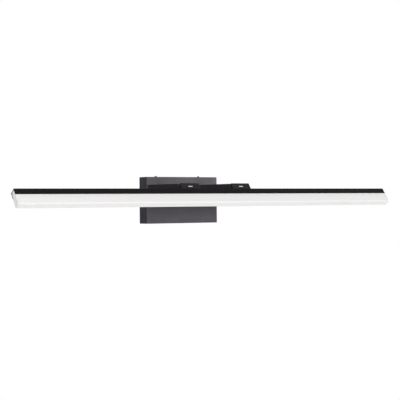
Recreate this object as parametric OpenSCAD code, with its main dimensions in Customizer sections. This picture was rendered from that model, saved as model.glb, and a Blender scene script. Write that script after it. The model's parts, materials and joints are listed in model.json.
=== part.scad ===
// Wall-mounted LED vanity light bar.
// X runs along the bar, +Y points into the wall, +Z is up.
// The origin is the centre of the wall plate's back face, where it meets the wall.

/* [Light bar] */
// Overall length of the bar, over both end caps
bar_l = 914.4; // [600:0.1:1220]
// Thickness of the bar, front to back
bar_t = 16; // [15.5:0.5:24]
// Height of the bar along its long side
bar_h = 35.8; // [34:0.1:50]
// Tilt of the bar at rest, from hanging straight down
tilt = 37; // [0:0.5:80]
// How far the black channel reaches down the bar's two faces
channel_leg = 13.4; // [13:0.1:18]
// Wall of the channel
channel_wall = 2; // [1.6:0.1:2.5]
// Wall of the opal diffuser
diffuser_wall = 1.6; // [1.2:0.1:1.8]
// Radius of the diffuser's lower corners
diffuser_r = 2.5; // [1.8:0.1:4]
// Thickness of the end caps
cap_t = 3.5; // [3:0.1:5]

/* [LEDs] */
// Number of LEDs on the board
led_count = 60; // [20:1:70]
// Distance from one LED to the next
led_pitch = 15; // [6:0.5:15]

/* [Canopy] */
// Width of the canopy
canopy_w = 180; // [176:1:240]
// Height of the canopy
canopy_h = 100.6; // [96:0.2:130]
// Depth of the canopy, from the wall to its front
canopy_d = 32; // [31:0.5:60]
// Sheet thickness of the canopy
sheet = 1.5; // [1:0.1:2]
// Radius of the canopy's four corners
canopy_r = 1.5; // [1:0.1:5]
// Distance between the two screws on top of the canopy
top_screw_span = 109.4; // [90:0.1:130]
// Distance of those screws from the wall
top_screw_y = 10; // [8:0.5:12]

/* [Wall plate] */
// Thickness of the wall plate and the chassis plate
plate_t = 2; // [1.5:0.1:2.5]
// Distance between the two junction-box screws
box_screw_span = 88.9; // [69.8:0.1:88.9]
// Radius of the cable hole
cable_hole_r = 11; // [8:0.5:12]

/* [Arms] */
// Width of each arm
arm_w = 45.6; // [45:0.2:50]
// Distance between the two arms' centre planes
arm_span = 127; // [110:0.5:130]
// Height of each arm
arm_h = 20; // [20:0.5:24]
// Height of the pivot axis above the canopy's centre
pivot_z = 23.2; // [15:0.1:30]
// Distance of the pivot axis from the wall
pivot_reach = 148.2; // [110:0.1:200]
// Thickness of each ear at the front of an arm
ear_t = 9; // [8.8:0.1:9.2]

/* [Hidden] */
$fn = 48;

eps = 0.01;            // overshoot of a cut past the face it opens
thread_gap = 0.05;     // radial gap around a screw in its hole
run_gap = 0.05;        // radial gap of the pivot bolt in its bush
press_gap = 0.02;      // radial gap of that bush in its block
screw_short = 0.1;     // a screw stops this far short of the last face it passes
recess_w = 0.8;        // width of each arm of a cross recess
m4_r = 2;              // radius of the M4 screws
m4_head_r = 4;
m4_head_h = 2.6;
m3_r = 1.5;
m3_head_r = 2.75;
m3_head_h = 1.8;

// Canopy and wall plate
top_screw_x = top_screw_span / 2;
top_screw_r = 2;
top_screw_l = 8;
top_head_r = 3;
top_head_h = 2.3;
plate_fit = 0.3;       // gap between the wall plate's flanges and the canopy
plate_w = canopy_w - 2 * sheet - 4;
plate_h = canopy_h - 2 * sheet - 2 * plate_fit;
flange_d = 18;         // depth of the wall plate's folded flanges
flange_nut_s = 7;      // side of the square nut under the top flange
flange_nut_h = 3;
box_slot_r = 2.4;      // half the width of a junction-box slot
box_slot_l = 10;       // end-to-end length of that slot
cable_hole_z = -24;
chassis_w = canopy_w - 2 * sheet - 1;
chassis_h = canopy_h - 2 * sheet - 6;
chassis_y = -(canopy_d - sheet - plate_t);

// Arms: the offsets below are from an arm's own centre plane
arm_x = arm_span / 2;
arm_skin = 2.5;        // top and bottom wall of the hollow arm
arm_bore_w = arm_w - 2 * ear_t;
arm_screw_dx = arm_w / 2 - ear_t / 2;
arm_screw_l = 14;      // length of a screw's thread inside the arm
arm_hole_spare = 1;    // the screw's hole is this much deeper
ear_r = arm_h / 2;
ear_gap = 0.5;         // gap between an ear and the block that curves round it
ear_space = 0.2;       // the room between the ears reaches this far past their radius

// Pivot bolt and its parts
bolt_r = 3;
bolt_head_r = 5.5;
bolt_head_h = 3.5;
bolt_tip = 0.4;        // bolt's length past its nut
hex_r = 2.9;           // hexagon socket in the bolt's head, over its corners
hex_depth = 2;
pocket_r = 6.2;        // pocket in each ear, for the bolt's head and its nut
pocket_d = 6;
pocket_floor = arm_w / 2 - pocket_d;
nut_af = 10;           // across the flats
nut_h = 3.2;
spring_r = 5.6;
spring_t = 0.8;
cap_disc_t = 1.4;
washer_r = 8.5;
washer_t = 0.8;
washer_gap = 0.2;      // axial play of the tongue
bush_r = 4.2;
boss_r = 5;            // boss round the bush where the lead passes it

// Pivot block, measured from the pivot axis with the bar hanging straight down
bar_front = -15.2;                    // front face of the bar
bar_back = bar_front + bar_t;
bar_top = -11.7;                      // top face of the bar
block_top = 2.2;                      // top face of the block
tongue_r = ear_r - 0.5;
tongue_w = arm_bore_w - 2 * (washer_t + washer_gap);
relief_y = 4;                         // arm walls stop this far behind the axis
block_screw_y = -9.9;
block_head_r = 3.2;                   // head of the block's screw, inside the channel
block_head_h = 2.2;
nut_plate = [10.3, 8.8, 2.4];         // plate nut in the block's front slot: X, Y, Z
nut_plate_y = bar_front + 0.2;
nut_plate_z = bar_top + 4.6;
nut_slot_spare = 0.4;                 // the slot is this much deeper than the plate nut
block_screw_tip = 0.6;                // block screw's length past its plate nut

// Lead through the hinge
lead_r = 1.1;
lead_dx = 8.8;                        // lead's place beside the arm's centre plane
lead_x = -arm_x + lead_dx;
lead_orbit = boss_r + 0.1 + lead_r;   // radius on which it passes the boss
lead_slot_w = 5;
lead_hole_r = 1.5;
lead_start = 90 + tilt;               // where the bar's lead begins round the boss
arm_lead_end = 8.5;                   // end of the arm's lead behind the axis
arm_lead_turn = 16;                   // the arm's lead turns up this far from the driver

// Inside the channel, as depths below the bar's top face
rib_l = 1;
rib_t = 0.8;
board_d = 7.5;
board_t = 1.6;
board_gap = 0.15;
groove_d = 11.2;
groove_h = 1.2;
groove_cut = 0.5;
port_d = 4.6;
port_y = bar_back - channel_wall - 2;
port_r = 1.7;
port_hole_r = 1.05;
led_w = 3.5;
led_b = 2.8;
led_h = 0.7;
connector_l = 9;
connector_w = 6;
connector_h = 3.6;
connector_x = -120;
connector_y = -lead_orbit - 4.8;

// Diffuser and end caps
slip = 0.1;            // gap where the diffuser slides into the channel
hook_t = 1.4;
shelf_h = 1.5;
hook_rise = 0.6;       // the hook starts this far above its barb
barb_h = 0.9;
plug_overlap = 1;      // the end cap's plug reaches this far below the channel
diffuser_half = bar_l / 2 - cap_t - slip;
board_half = bar_l / 2 - 8;
cap_screw_r = 1;
cap_head_r = 1.5;
cap_head_h = 0.9;
cap_screw_end = 9;     // depth of the end cap screw's tip
cap_recess = [2, 0.6]; // size and depth of its cross recess

// LED driver
driver_l = 104;
driver_b = 34;
driver_h = 20;
driver_r = 2;
driver_z = -27;
driver_tab = 9;
driver_tab_t = 2;
driver_tab_w = 12;
driver_tab_r = 3;
driver_screw_x = driver_l / 2 + driver_tab / 2;

// Wiring in the canopy
wire_y = -18;                    // plane in which the leads run
grommet_r = 2.3;
grommet_lip = 1.2;
grommet_lip_t = 1;
lever_size = [20, 12, 9];        // one lever connector: X, Y, Z
lever_x = 24;
lever_z = [4, 16];               // height of each one's underside
supply_exit_z = [-20, -26];      // heights at which the supply leads leave the driver
supply_turn_x = [62, 66];        // where each supply lead turns up
ground_exit_z = -32;
ground_turn_x = 72;
ground_x = 30;
ground_z = 36;
ring_r = 5;
ring_t = 1;

// ---------------------------------------------------------------- helpers

// Extrude a profile drawn in Y and Z along X, from x0 to x1.
module along_x(x0, x1) {
    translate([x0, 0, 0])
        rotate([90, 0, 90])
            linear_extrude(x1 - x0)
                children();
}

// Extrude an outline drawn in X and Z forwards, from distance y0 to y1 off the wall.
module off_wall(y0, y1) {
    translate([0, -y0, 0])
        rotate([90, 0, 0])
            linear_extrude(y1 - y0)
                children();
}

// Rectangle in Y and Z from one corner to the other.
module rect(y0, z0, y1, z1) {
    translate([y0, z0])
        square([y1 - y0, z1 - z0]);
}

module rounded_rect(w, h, r) {
    square([w - 2 * r, h], center = true);
    square([w, h - 2 * r], center = true);
    for (sx = [-1, 1], sz = [-1, 1])
        translate([sx * (w / 2 - r), sz * (h / 2 - r)])
            circle(r);
}

// Move to the pivot axis.
module at_pivot() {
    translate([0, -pivot_reach, pivot_z])
        children();
}

// The bar's own frame: the pivot axis, turned to the bar's tilt at rest.
module bar_frame() {
    at_pivot()
        rotate([-tilt, 0, 0])
            children();
}

// Cylinder along X from x0 to x1.
module rod_x(r, x0, x1, sides = $fn) {
    translate([x0, 0, 0])
        rotate([0, 90, 0])
            cylinder(h = x1 - x0, r = r, $fn = sides);
}

// Cylinder that starts at y0 and runs forwards, away from the wall.
module rod_forward(r, y0, y1) {
    translate([0, y0, 0])
        rotate([90, 0, 0])
            cylinder(h = y0 - y1, r = r);
}

// Round lead through a list of points, with a ball at each corner.
module lead_run(points, r) {
    last = len(points) - 1;
    for (i = [0 : last - 1]) {
        step = points[i + 1] - points[i];
        turn = atan2(step.y, step.x);
        lean = acos(step.z / norm(step));
        translate(points[i])
            rotate([0, lean, turn])
                cylinder(h = norm(step), r = r, $fn = 24);
    }
    for (i = [1 : 1 : last - 1])
        translate(points[i])
            sphere(r, $fn = 24);
}

// Cross recess that sinks from z = 0.
module cross_recess(size, depth) {
    for (a = [0, 90])
        rotate([0, 0, a])
            translate([-size / 2, -recess_w / 2, -depth])
                cube([size, recess_w, depth + eps]);
}

// Pan-head screw along Z: head above z = 0, thread below.
module pan_screw(head_r, head_h, r, l) {
    difference() {
        union() {
            cylinder(h = head_h * 0.55, r = head_r);
            translate([0, 0, head_h * 0.55])
                cylinder(h = head_h * 0.45, r1 = head_r, r2 = head_r * 0.72);
        }
        translate([0, 0, head_h])
            cross_recess(head_r * 1.1, head_h * 0.5);
    }
    translate([0, 0, -l])
        cylinder(h = l + eps, r = r);
}

// ---------------------------------------------------------------- wall plate and canopy

module wall_plate() {
    flange_z = plate_h / 2;
    color("silver")
        difference() {
            union() {
                off_wall(0, plate_t)
                    square([plate_w, plate_h], center = true);
                for (side = [-1, 1])
                    translate([-plate_w / 2, -flange_d, side * (flange_z - plate_t / 2) - plate_t / 2])
                        cube([plate_w, flange_d, plate_t]);
            }
            off_wall(-eps, plate_t + eps)
                for (side = [-1, 1])
                    translate([side * box_screw_span / 2, 0])
                        box_slot();
            translate([0, 0, cable_hole_z])
                rod_forward(cable_hole_r, eps, -plate_t - eps);
            translate([ground_x, 0, ground_z])
                rod_forward(m4_r + thread_gap, eps, -plate_t - eps);
            for (side = [-1, 1])
                translate([side * top_screw_x, -top_screw_y, flange_z - plate_t - eps])
                    cylinder(h = plate_t + 2 * eps, r = top_screw_r + thread_gap);
        }
}

module box_slot() {
    run = box_slot_l - 2 * box_slot_r;
    square([run, 2 * box_slot_r], center = true);
    for (side = [-1, 1])
        translate([side * run / 2, 0])
            circle(box_slot_r);
}

module flange_nuts() {
    z = plate_h / 2 - plate_t - flange_nut_h;
    color("gainsboro")
        for (side = [-1, 1])
            translate([side * top_screw_x, -top_screw_y, z])
                difference() {
                    translate([-flange_nut_s / 2, -flange_nut_s / 2, 0])
                        cube([flange_nut_s, flange_nut_s, flange_nut_h]);
                    translate([0, 0, -eps])
                        cylinder(h = flange_nut_h + 2 * eps, r = top_screw_r + thread_gap);
                }
}

module canopy() {
    color([0.2, 0.19, 0.2])
        difference() {
            off_wall(0, canopy_d)
                rounded_rect(canopy_w, canopy_h, canopy_r);
            off_wall(-eps, canopy_d - sheet)
                square([canopy_w - 2 * sheet, canopy_h - 2 * sheet], center = true);
            for (side = [-1, 1])
                translate([side * top_screw_x, -top_screw_y, canopy_h / 2 - sheet - eps])
                    cylinder(h = sheet + 2 * eps, r = top_screw_r + 2 * thread_gap);
            front_holes(-canopy_d + sheet + eps, -canopy_d - eps);
        }
}

// Holes for the four arm screws and for the lead, through the plates behind the arms.
module front_holes(y0, y1) {
    for (arm = [-1, 1], side = [-1, 1])
        translate([arm * arm_x + side * arm_screw_dx, 0, pivot_z])
            rod_forward(m4_r + thread_gap, y0, y1);
    translate([lead_x, 0, pivot_z + lead_orbit])
        rod_forward(grommet_r + slip / 2, y0, y1);
}

module canopy_screws() {
    color("black")
        for (side = [-1, 1])
            translate([side * top_screw_x, -top_screw_y, canopy_h / 2])
                pan_screw(top_head_r, top_head_h, top_screw_r, top_screw_l);
}

// ---------------------------------------------------------------- chassis, driver and wiring

module chassis_plate() {
    color("gainsboro")
        difference() {
            off_wall(-chassis_y, -chassis_y + plate_t)
                square([chassis_w, chassis_h], center = true);
            front_holes(chassis_y + eps, chassis_y - plate_t - eps);
            for (side = [-1, 1])
                translate([side * driver_screw_x, 0, driver_z])
                    rod_forward(m3_r + thread_gap, chassis_y + eps, chassis_y - plate_t - eps);
        }
}

module led_driver() {
    color("white")
        difference() {
            union() {
                off_wall(-chassis_y - driver_h, -chassis_y)
                    translate([0, driver_z])
                        rounded_rect(driver_l, driver_b, driver_r);
                off_wall(-chassis_y - driver_tab_t, -chassis_y)
                    translate([0, driver_z])
                        rounded_rect(driver_l + 2 * driver_tab, driver_tab_w, driver_tab_r);
            }
            for (side = [-1, 1])
                translate([side * driver_screw_x, 0, driver_z])
                    rod_forward(m3_r + thread_gap, chassis_y + driver_tab_t + eps, chassis_y - eps);
        }
}

module driver_screws() {
    color("silver")
        for (side = [-1, 1])
            translate([side * driver_screw_x, chassis_y + driver_tab_t, driver_z])
                rotate([-90, 0, 0])
                    pan_screw(m3_head_r, m3_head_h, m3_r, driver_tab_t + plate_t - screw_short);
}

module supply_connectors() {
    color("orange")
        for (z = lever_z)
            translate([lever_x, wire_y - lever_size.y / 2, z])
                cube(lever_size);
}

module supply_leads() {
    exit_x = driver_l / 2;
    end_x = lever_x + lever_size.x;
    for (i = [0, 1]) {
        z1 = supply_exit_z[i];
        z2 = lever_z[i] + lever_size.z / 2;
        turn_x = supply_turn_x[i];
        color(i == 0 ? "black" : "white")
            lead_run([[exit_x, wire_y, z1], [turn_x, wire_y, z1],
                      [turn_x, wire_y, z2], [end_x, wire_y, z2]], lead_r);
    }
}

module ground_screw() {
    color("green")
        translate([ground_x, -plate_t - ring_t, ground_z])
            rotate([90, 0, 0])
                pan_screw(m4_head_r, m4_head_h, m4_r, plate_t + ring_t - screw_short);
}

module ground_lead() {
    exit_x = driver_l / 2;
    side_x = ground_x + 2 * ring_r + 2;
    low_y = -plate_t - lead_r - slip;
    color("green") {
        lead_run([[exit_x, wire_y, ground_exit_z], [ground_turn_x, wire_y, ground_exit_z],
                  [ground_turn_x, wire_y, ground_z], [side_x, wire_y, ground_z],
                  [side_x, low_y, ground_z], [ground_x + m4_head_r + 0.4, low_y, ground_z]], lead_r);
        translate([ground_x, 0, ground_z])
            difference() {
                rod_forward(ring_r, -plate_t, -plate_t - ring_t);
                rod_forward(m4_r + thread_gap, -plate_t + eps, -plate_t - ring_t - eps);
            }
    }
}

module lead_grommet() {
    color([0.1, 0.1, 0.1])
        translate([lead_x, 0, pivot_z + lead_orbit])
            difference() {
                union() {
                    rod_forward(grommet_r, chassis_y, -canopy_d);
                    rod_forward(grommet_r + grommet_lip, chassis_y + grommet_lip_t, chassis_y);
                }
                rod_forward(lead_r + slip / 2, chassis_y + grommet_lip_t + eps, -canopy_d - eps);
            }
}

module arm_lead() {
    z = pivot_z + lead_orbit;
    exit_x = -driver_l / 2;
    turn_x = exit_x - arm_lead_turn;
    color("white")
        lead_run([[exit_x, wire_y, driver_z], [turn_x, wire_y, driver_z],
                  [turn_x, wire_y, z], [lead_x, wire_y, z],
                  [lead_x, -pivot_reach + arm_lead_end, z]], lead_r);
}

// ---------------------------------------------------------------- arms

module arm_screws() {
    color("silver")
        for (arm = [-1, 1], side = [-1, 1])
            translate([arm * arm_x + side * arm_screw_dx, chassis_y, pivot_z])
                rotate([-90, 0, 0])
                    pan_screw(m4_head_r, m4_head_h, m4_r, plate_t + sheet + arm_screw_l);
}

// One hollow arm, with two ears at its front that hold the pivot bolt.
module arm() {
    half = arm_w / 2;
    bore = arm_bore_w / 2;
    root_y = pivot_reach - canopy_d;
    difference() {
        along_x(-half, half) {
            rect(0, -ear_r, root_y, ear_r);
            circle(ear_r);
        }
        along_x(-bore, bore) {
            rect(-ear_r - eps, -ear_r + arm_skin, root_y + eps, ear_r - arm_skin);
            rect(-ear_r - eps, -ear_r - eps, relief_y, ear_r + eps);
            circle(ear_r + ear_space);
        }
        rod_x(bolt_r + thread_gap, -half - eps, half + eps);
        rod_x(pocket_r, -half - eps, -half + pocket_d);
        rod_x(pocket_r, half - pocket_d, half + eps);
        for (side = [-1, 1])
            translate([side * arm_screw_dx, root_y + eps, 0])
                rod_forward(m4_r + thread_gap, 0, -arm_screw_l - arm_hole_spare);
    }
}

module left_arm() {
    color([0.12, 0.12, 0.13])
        at_pivot()
            translate([-arm_x, 0, 0])
                arm();
}

module right_arm() {
    color([0.12, 0.12, 0.13])
        at_pivot()
            translate([arm_x, 0, 0])
                arm();
}

// ---------------------------------------------------------------- pivots

module pivot_bolt() {
    rod_x(bolt_r, -pocket_floor - eps, pocket_floor + spring_t + nut_h + bolt_tip);
    difference() {
        rod_x(bolt_head_r, -pocket_floor - bolt_head_h, -pocket_floor);
        rod_x(hex_r, -pocket_floor - bolt_head_h - eps, -pocket_floor - bolt_head_h + hex_depth, 6);
    }
}

module left_pivot_bolt() {
    color("dimgray")
        at_pivot()
            translate([-arm_x, 0, 0])
                pivot_bolt();
}

module right_pivot_bolt() {
    color("dimgray")
        at_pivot()
            translate([arm_x, 0, 0])
                pivot_bolt();
}

module pivot_nuts() {
    x0 = pocket_floor + spring_t;
    color("silver")
        at_pivot()
            for (arm = [-1, 1])
                translate([arm * arm_x, 0, 0])
                    difference() {
                        rod_x(nut_af / sqrt(3), x0, x0 + nut_h, 6);
                        rod_x(bolt_r + thread_gap, x0 - eps, x0 + nut_h + eps);
                    }
}

module disc_springs() {
    color("silver")
        at_pivot()
            for (arm = [-1, 1])
                translate([arm * arm_x, 0, 0])
                    difference() {
                        rod_x(spring_r, pocket_floor, pocket_floor + spring_t);
                        rod_x(bolt_r + thread_gap, pocket_floor - eps, pocket_floor + spring_t + eps);
                    }
}

module friction_washers() {
    outer = arm_bore_w / 2;
    color("khaki")
        at_pivot()
            for (arm = [-1, 1], side = [-1, 1])
                translate([arm * arm_x + side * (outer - washer_t / 2), 0, 0])
                    difference() {
                        rod_x(washer_r, -washer_t / 2, washer_t / 2);
                        rod_x(bolt_r + thread_gap, -washer_t / 2 - eps, washer_t / 2 + eps);
                    }
}

module bolt_caps() {
    outer = arm_w / 2;
    color([0.12, 0.12, 0.13])
        at_pivot()
            for (arm = [-1, 1], side = [-1, 1])
                translate([arm * arm_x, 0, 0])
                    rod_x(pocket_r - thread_gap,
                          side < 0 ? -outer : outer - cap_disc_t,
                          side < 0 ? -outer + cap_disc_t : outer);
}

// One pivot block: it curves round the arm's ears, and its tongue turns on the bolt.
module pivot_block() {
    half = arm_w / 2;
    tongue = tongue_w / 2;
    difference() {
        union() {
            along_x(-half, half)
                difference() {
                    rect(bar_front, bar_top, bar_back, block_top);
                    circle(ear_r + ear_gap);
                }
            along_x(-tongue, tongue) {
                rect(bar_front, bar_top, bar_back, block_top);
                circle(tongue_r);
            }
        }
        rod_x(bush_r + press_gap, -half, half);
        lead_slot();
        translate([-nut_plate.x / 2 - slip, bar_front - eps, nut_plate_z - slip / 2])
            cube([nut_plate.x + 2 * slip, nut_plate.y + nut_slot_spare, nut_plate.z + slip]);
        translate([0, block_screw_y, bar_top - eps])
            cylinder(h = nut_plate_z - bar_top + nut_plate.z + 2 * block_screw_tip,
                     r = m4_r + thread_gap);
        translate([lead_dx, -lead_orbit, bar_top - eps])
            cylinder(h = ear_r, r = lead_hole_r);
    }
}

// Ring-shaped slot in the tongue, in which the lead bends round the bolt's boss.
module lead_slot() {
    difference() {
        rod_x(tongue_r + 0.1, lead_dx - lead_slot_w / 2, lead_dx + lead_slot_w / 2);
        rod_x(boss_r, lead_dx - lead_slot_w, lead_dx + lead_slot_w);
    }
}

module left_pivot_block() {
    color([0.16, 0.16, 0.17])
        bar_frame()
            translate([-arm_x, 0, 0])
                pivot_block();
}

module right_pivot_block() {
    color([0.16, 0.16, 0.17])
        bar_frame()
            translate([arm_x, 0, 0])
                pivot_block();
}

module pivot_bushes() {
    tongue = tongue_w / 2;
    color("ivory")
        bar_frame()
            for (arm = [-1, 1])
                translate([arm * arm_x, 0, 0])
                    difference() {
                        rod_x(bush_r, -tongue, tongue);
                        rod_x(bolt_r + run_gap, -tongue - eps, tongue + eps);
                    }
}

// Screws that come up from inside the channel into the plate nuts.
module block_screws() {
    color("silver")
        bar_frame()
            for (arm = [-1, 1])
                translate([arm * arm_x, block_screw_y, bar_top - channel_wall])
                    rotate([180, 0, 0])
                        pan_screw(block_head_r, block_head_h, m4_r,
                                  channel_wall + nut_plate_z - bar_top + nut_plate.z + block_screw_tip);
}

module nut_plates() {
    color("silver")
        bar_frame()
            for (arm = [-1, 1])
                translate([arm * arm_x, 0, nut_plate_z])
                    difference() {
                        translate([-nut_plate.x / 2, nut_plate_y, 0])
                            cube(nut_plate);
                        translate([0, block_screw_y, -eps])
                            cylinder(h = nut_plate.z + 2 * eps, r = m4_r + thread_gap);
                    }
}

// ---------------------------------------------------------------- light bar

// Rectangle between two depths below the bar's top face.
module band(y0, d0, y1, d1) {
    rect(y0, bar_top - d1, y1, bar_top - d0);
}

// Pair of equal strips on the two inner faces of the channel.
module inner_pair(reach, d0, d1) {
    in_front = bar_front + channel_wall;
    in_back = bar_back - channel_wall;
    band(in_front - eps, d0, in_front + reach, d1);
    band(in_back - reach, d0, in_back + eps, d1);
}

module channel_profile() {
    in_front = bar_front + channel_wall;
    in_back = bar_back - channel_wall;
    difference() {
        union() {
            difference() {
                band(bar_front, 0, bar_back, channel_leg);
                band(in_front, channel_wall, in_back, channel_leg + eps);
            }
            inner_pair(rib_l, board_d - board_gap - rib_t, board_d - board_gap);
            inner_pair(rib_l, board_d + board_t + board_gap, board_d + board_t + board_gap + rib_t);
            translate([port_y, bar_top - port_d])
                circle(port_r);
            band(port_y, channel_wall - eps, in_back + eps, port_d);
        }
        translate([port_y, bar_top - port_d])
            circle(port_hole_r);
        band(in_front - groove_cut, groove_d, in_front + eps, groove_d + groove_h);
        band(in_back - eps, groove_d, in_back + groove_cut, groove_d + groove_h);
    }
}

module bar_housing() {
    color([0.1, 0.1, 0.11])
        bar_frame()
            difference() {
                along_x(-bar_l / 2, bar_l / 2)
                    channel_profile();
                for (end = [[-bar_l / 2 - eps, -diffuser_half], [diffuser_half, bar_l / 2 + eps]])
                    along_x(end[0], end[1])
                        band(bar_front + channel_wall, channel_wall,
                             bar_back - channel_wall, channel_leg + eps);
                for (arm = [-1, 1])
                    translate([arm * arm_x, block_screw_y, bar_top - channel_wall - eps])
                        cylinder(h = channel_wall + 2 * eps, r = m4_r + thread_gap);
                translate([lead_x, -lead_orbit, bar_top - channel_wall - eps])
                    cylinder(h = channel_wall + 2 * eps, r = lead_hole_r);
            }
}

// Outline with its two lower corners rounded, between two depths.
module lower_outline(inset, d0, r) {
    y0 = bar_front + inset;
    y1 = bar_back - inset;
    d1 = bar_h - inset;
    band(y0, d0, y1, d1 - r);
    band(y0 + r, d0, y1 - r, d1);
    for (y = [y0 + r, y1 - r])
        translate([y, bar_top - d1 + r])
            circle(r);
}

module diffuser() {
    in_front = bar_front + channel_wall;
    in_back = bar_back - channel_wall;
    top = channel_leg + slip;
    hook_d = groove_d + slip;
    color([0.95, 0.95, 0.94, 0.9])
        bar_frame()
            along_x(-diffuser_half, diffuser_half) {
                difference() {
                    lower_outline(0, top, diffuser_r);
                    lower_outline(diffuser_wall, top - eps, diffuser_r - diffuser_wall + 0.4);
                }
                for (edge = [[bar_front, in_front + hook_t], [in_back - hook_t, bar_back]])
                    band(edge[0], top, edge[1], top + shelf_h);
                band(in_front + slip, hook_d - hook_rise, in_front + hook_t, top + shelf_h);
                band(in_back - hook_t, hook_d - hook_rise, in_back - slip, top + shelf_h);
                band(in_front - groove_cut + slip, hook_d, in_front + hook_t, hook_d + barb_h);
                band(in_back - hook_t, hook_d, in_back + groove_cut - slip, hook_d + barb_h);
            }
}

module led_board() {
    gap = channel_wall + board_gap;
    color("white")
        bar_frame()
            along_x(-board_half, board_half)
                band(bar_front + gap, board_d, bar_back - gap, board_d + board_t);
}

module leds() {
    middle = (bar_front + bar_back) / 2;
    z = bar_top - board_d - board_t - led_h;
    color("gold")
        bar_frame()
            for (i = [0 : led_count - 1])
                translate([(i - (led_count - 1) / 2) * led_pitch - led_w / 2, middle - led_b / 2, z])
                    cube([led_w, led_b, led_h]);
}

module led_connector() {
    color("ivory")
        bar_frame()
            translate([connector_x - connector_l, connector_y, bar_top - board_d])
                cube([connector_l, connector_w, connector_h]);
}

// Lead from the pivot boss, down into the channel and along it to the connector.
module bar_lead() {
    run_z = bar_top - board_d + lead_r + slip / 2;
    color("white")
        bar_frame() {
            translate([lead_x, 0, 0])
                rotate([90, 0, 90])
                    rotate([0, 0, lead_start])
                        rotate_extrude(angle = 180 - lead_start)
                            translate([lead_orbit, 0])
                                circle(lead_r, $fn = 24);
            lead_run([[lead_x, -lead_orbit, 0], [lead_x, -lead_orbit, run_z],
                      [connector_x, -lead_orbit, run_z]], lead_r);
        }
}

// End cap drawn for the right end: it fills the channel between its walls, flush with
// its end, and has the bar's full outline below it.
module end_cap() {
    inset = channel_wall + slip;
    difference() {
        bar_frame()
            along_x(bar_l / 2 - cap_t, bar_l / 2) {
                band(bar_front + inset, inset, bar_back - inset, channel_leg + plug_overlap);
                lower_outline(0, channel_leg + slip, diffuser_r);
            }
        bar_frame()
            translate([0, port_y, bar_top - port_d]) {
                rod_x(cap_screw_r + thread_gap, bar_l / 2 - cap_t - eps, bar_l / 2 + eps);
                rod_x(cap_head_r + thread_gap, bar_l / 2 - cap_head_h, bar_l / 2 + eps);
            }
    }
}

module right_end_cap() {
    color([0.92, 0.92, 0.92])
        end_cap();
}

module left_end_cap() {
    color([0.92, 0.92, 0.92])
        mirror([1, 0, 0])
            end_cap();
}

module end_cap_screws() {
    color("silver")
        for (side = [0, 1])
            mirror([side, 0, 0])
                bar_frame()
                    translate([0, port_y, bar_top - port_d])
                        difference() {
                            union() {
                                rod_x(cap_screw_r, bar_l / 2 - cap_screw_end, bar_l / 2 - cap_head_h + eps);
                                rod_x(cap_head_r, bar_l / 2 - cap_head_h, bar_l / 2 - screw_short);
                            }
                            translate([bar_l / 2 - screw_short, 0, 0])
                                rotate([0, 90, 0])
                                    cross_recess(cap_recess.x, cap_recess.y);
                        }
}

wall_plate();
flange_nuts();
canopy();
canopy_screws();
chassis_plate();
left_arm();
right_arm();
arm_screws();
led_driver();
driver_screws();
supply_connectors();
supply_leads();
ground_screw();
ground_lead();
lead_grommet();
arm_lead();
left_pivot_bolt();
right_pivot_bolt();
pivot_nuts();
disc_springs();
friction_washers();
bolt_caps();
left_pivot_block();
right_pivot_block();
pivot_bushes();
block_screws();
nut_plates();
bar_housing();
diffuser();
led_board();
leds();
led_connector();
bar_lead();
left_end_cap();
right_end_cap();
end_cap_screws();
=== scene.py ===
"""Wall-mounted LED vanity light bar: the looks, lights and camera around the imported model.

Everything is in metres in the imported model's frame: X along the bar, +Y into the wall,
+Z up, and the origin at the centre of the wall plate's back face.
"""
import json
import math

import bmesh
import bpy
from mathutils import Matrix, Vector


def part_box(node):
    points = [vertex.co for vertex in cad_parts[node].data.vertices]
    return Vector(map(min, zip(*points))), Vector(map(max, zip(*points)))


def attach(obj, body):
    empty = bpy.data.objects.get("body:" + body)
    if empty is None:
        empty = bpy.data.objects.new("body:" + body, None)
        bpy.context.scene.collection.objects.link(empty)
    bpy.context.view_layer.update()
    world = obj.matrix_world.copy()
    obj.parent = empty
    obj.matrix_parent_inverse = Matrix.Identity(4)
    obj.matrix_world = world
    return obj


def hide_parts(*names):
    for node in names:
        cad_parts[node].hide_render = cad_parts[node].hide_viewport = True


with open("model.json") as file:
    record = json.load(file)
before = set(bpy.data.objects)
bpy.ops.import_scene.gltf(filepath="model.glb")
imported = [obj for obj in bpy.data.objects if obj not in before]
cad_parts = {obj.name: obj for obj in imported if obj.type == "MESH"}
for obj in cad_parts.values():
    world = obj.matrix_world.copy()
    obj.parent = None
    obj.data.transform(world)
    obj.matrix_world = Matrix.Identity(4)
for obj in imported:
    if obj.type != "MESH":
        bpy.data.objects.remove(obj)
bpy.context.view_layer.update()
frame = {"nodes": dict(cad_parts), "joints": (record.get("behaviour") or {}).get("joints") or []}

MM = 0.001
PIVOT = Vector(frame["joints"][0]["pos_m"])
TILT = math.radians(37.0)          # the bar's tilt at rest, from hanging straight down
BAR_SPACE = Matrix.Translation(PIVOT) @ Matrix.Rotation(-TILT, 4, "X")    # the bar's own frame
MOUNT = "mount"
BAR = "bar"


# ------------------------------------------------------------------ shader helpers

def add(tree, kind, inputs=None, **settings):
    """Add one shader node. An input's value is a number, a colour, or a socket to link."""
    made = tree.nodes.new("ShaderNode" + kind)
    for key, value in settings.items():
        setattr(made, key, value)
    for key, value in (inputs or {}).items():
        if isinstance(value, bpy.types.NodeSocket):
            tree.links.new(value, made.inputs[key])
        else:
            made.inputs[key].default_value = value
    return made


def coords(tree, stretch=(1, 1, 1)):
    """Object coordinates in metres, stretched by one factor for each axis."""
    source = add(tree, "TexCoord")
    return add(tree, "Mapping", {"Vector": source.outputs["Object"], "Scale": stretch}).outputs[0]


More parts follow.
